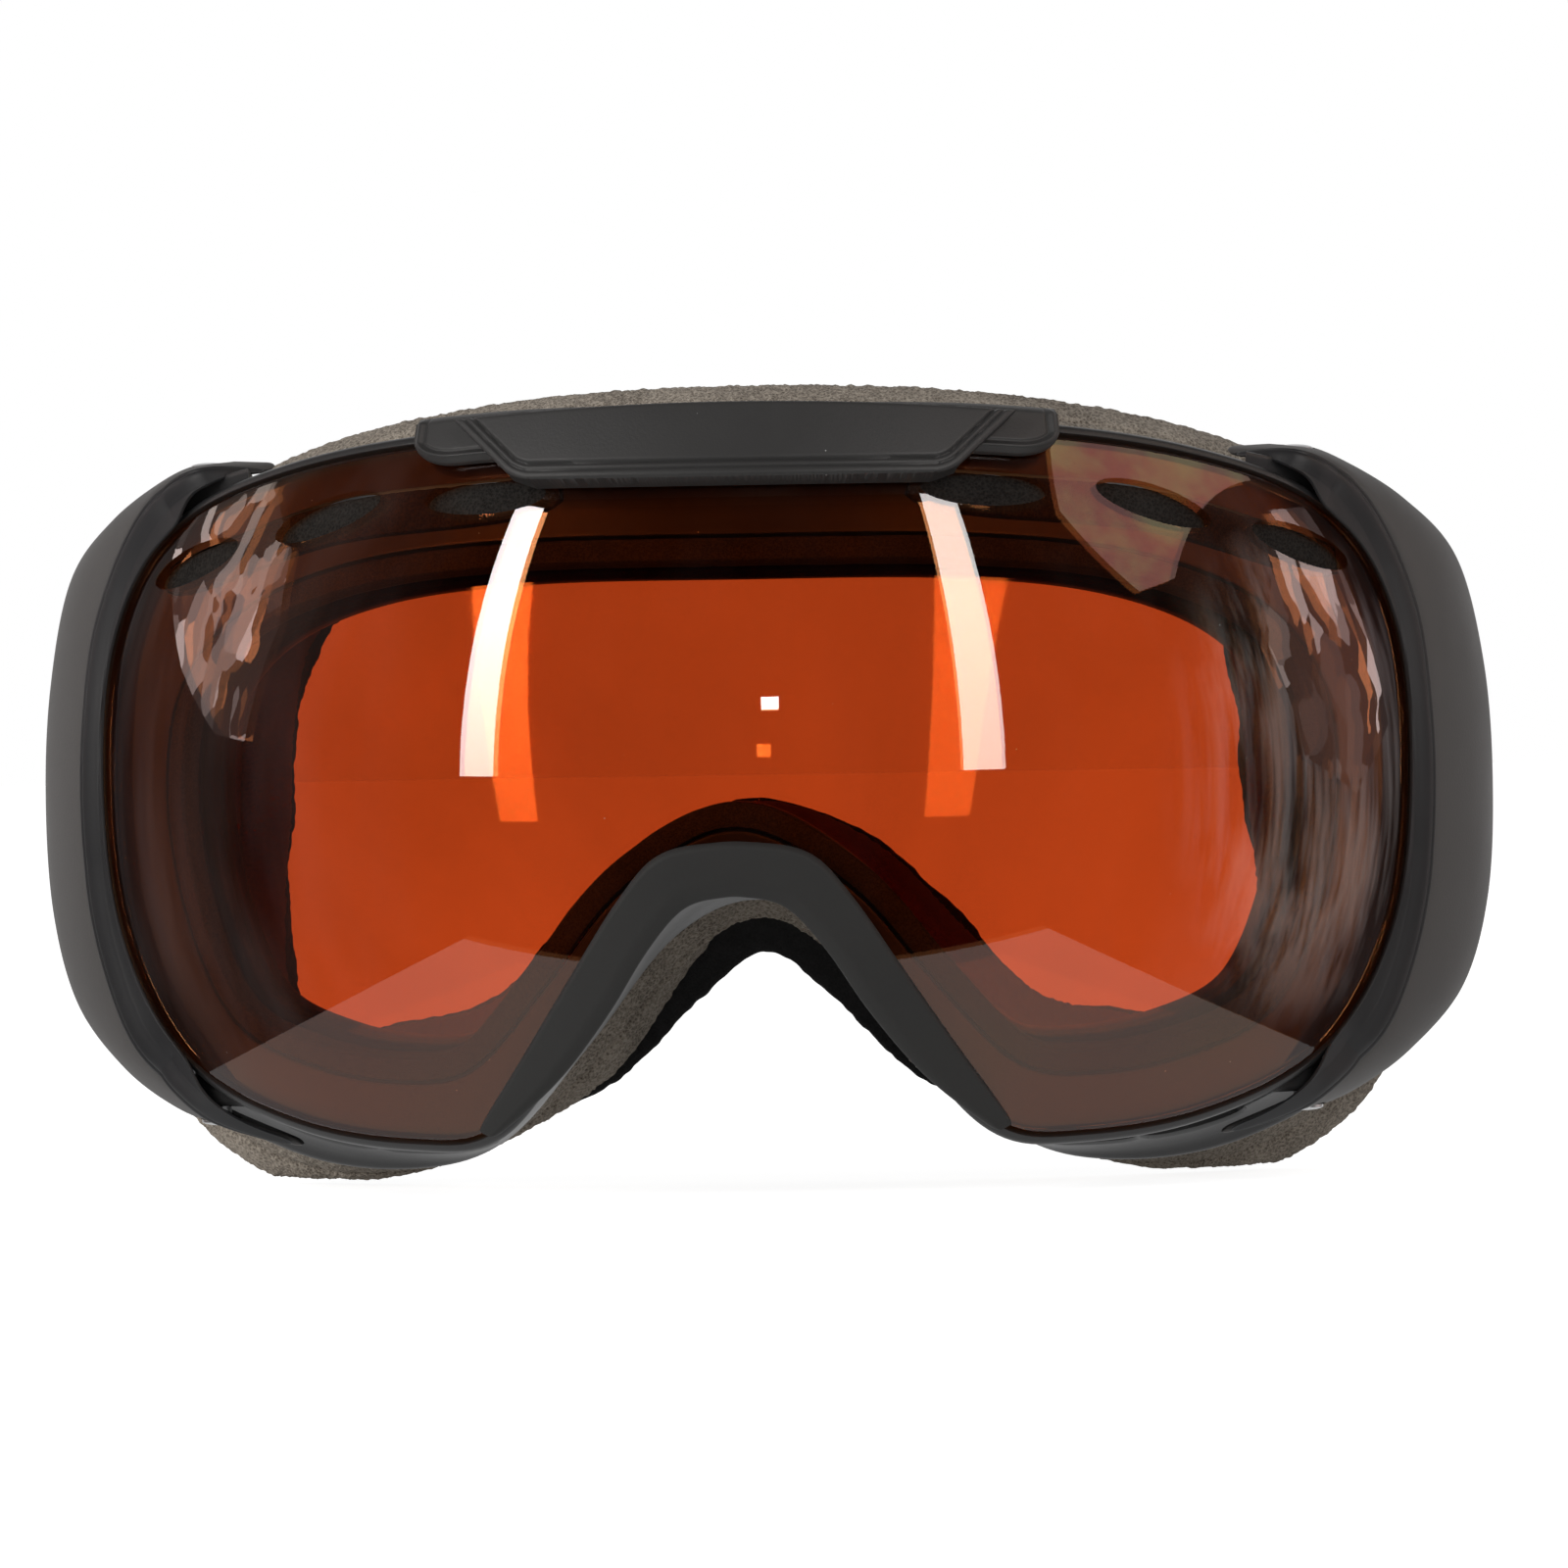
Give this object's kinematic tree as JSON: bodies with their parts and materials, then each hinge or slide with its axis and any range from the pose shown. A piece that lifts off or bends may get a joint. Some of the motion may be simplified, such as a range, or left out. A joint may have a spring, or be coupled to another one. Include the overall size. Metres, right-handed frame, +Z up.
{
  "type": "ski goggles",
  "caption": "Frameless-look ski goggles: wide spherical double lens in a moulded frame, sliding lens latch, hinged strap outriggers and layered face foam.",
  "frame": {"origin": "centre of the bounding box in plan, at the lowest point of the face foam's cheek lobes", "axes": "+X towards the wearer's left, -Y the way the lens faces, +Z up"},
  "size_m": [0.1788, 0.09, 0.0969],
  "materials": {
    "frame_plastic": "black moulded plastic, semi-gloss",
    "tinted_lens": "orange-red tinted polycarbonate with a faint purple and green mirror coat, polished",
    "clear_lens": "lightly tinted clear plastic, polished",
    "seal_foam": "black closed-cell foam, matte",
    "vent_foam": "black open-cell foam, matte",
    "base_foam": "firm brown-grey foam, matte",
    "soft_foam": "soft brown-grey open-cell foam, matte",
    "fleece": "black brushed fleece",
    "trim_plastic": "dark grey moulded plastic, fine matte grain",
    "clip_plastic": "dark grey moulded plastic, satin",
    "arm_plastic": "warm dark grey plastic, fine matte grain",
    "arm_rubber": "black soft edging, satin",
    "steel": "plain steel"
  },
  "bodies": {
    "goggles": {"frame_shell": "frame_plastic", "lens_outer": "tinted_lens", "lens_inner": "clear_lens", "lens_spacer": "seal_foam", "lens_gasket": "seal_foam", "lens_vent_foam_left": "vent_foam", "lens_vent_foam_right": "vent_foam", "vent_foam_top": "vent_foam", "vent_foam_bottom_left": "vent_foam", "vent_foam_bottom_right": "vent_foam", "face_foam_base": "base_foam", "face_foam_soft": "soft_foam", "face_fleece": "fleece", "nose_trim": "trim_plastic", "clip_tray": "clip_plastic", "pivot_pin_upper_left": "steel", "pivot_pin_upper_right": "steel", "pivot_pin_lower_left": "steel", "pivot_pin_lower_right": "steel"},
    "latch_bar": {"clip_bar": "clip_plastic"},
    "outrigger_body_left": {"outrigger_left": "arm_plastic", "outrigger_edge_left": "arm_rubber"},
    "outrigger_body_right": {"outrigger_right": "arm_plastic", "outrigger_edge_right": "arm_rubber"}
  },
  "joints": [
    {"name": "latch_slide", "type": "slide", "parent": "goggles", "child": "latch_bar", "axis": [0, 0.439, 0.8985], "range_m": [0, 0.004]},
    {"name": "outrigger_hinge_left", "type": "hinge", "parent": "goggles", "child": "outrigger_body_left", "pos_m": [0.066, 0.00065, 0.048], "axis": [0, 0, 1], "range_deg": [-12, 0]},
    {"name": "outrigger_hinge_right", "type": "hinge", "parent": "goggles", "child": "outrigger_body_right", "pos_m": [-0.066, 0.00065, 0.048], "axis": [0, 0, 1], "range_deg": [0, 12]}
  ]
}
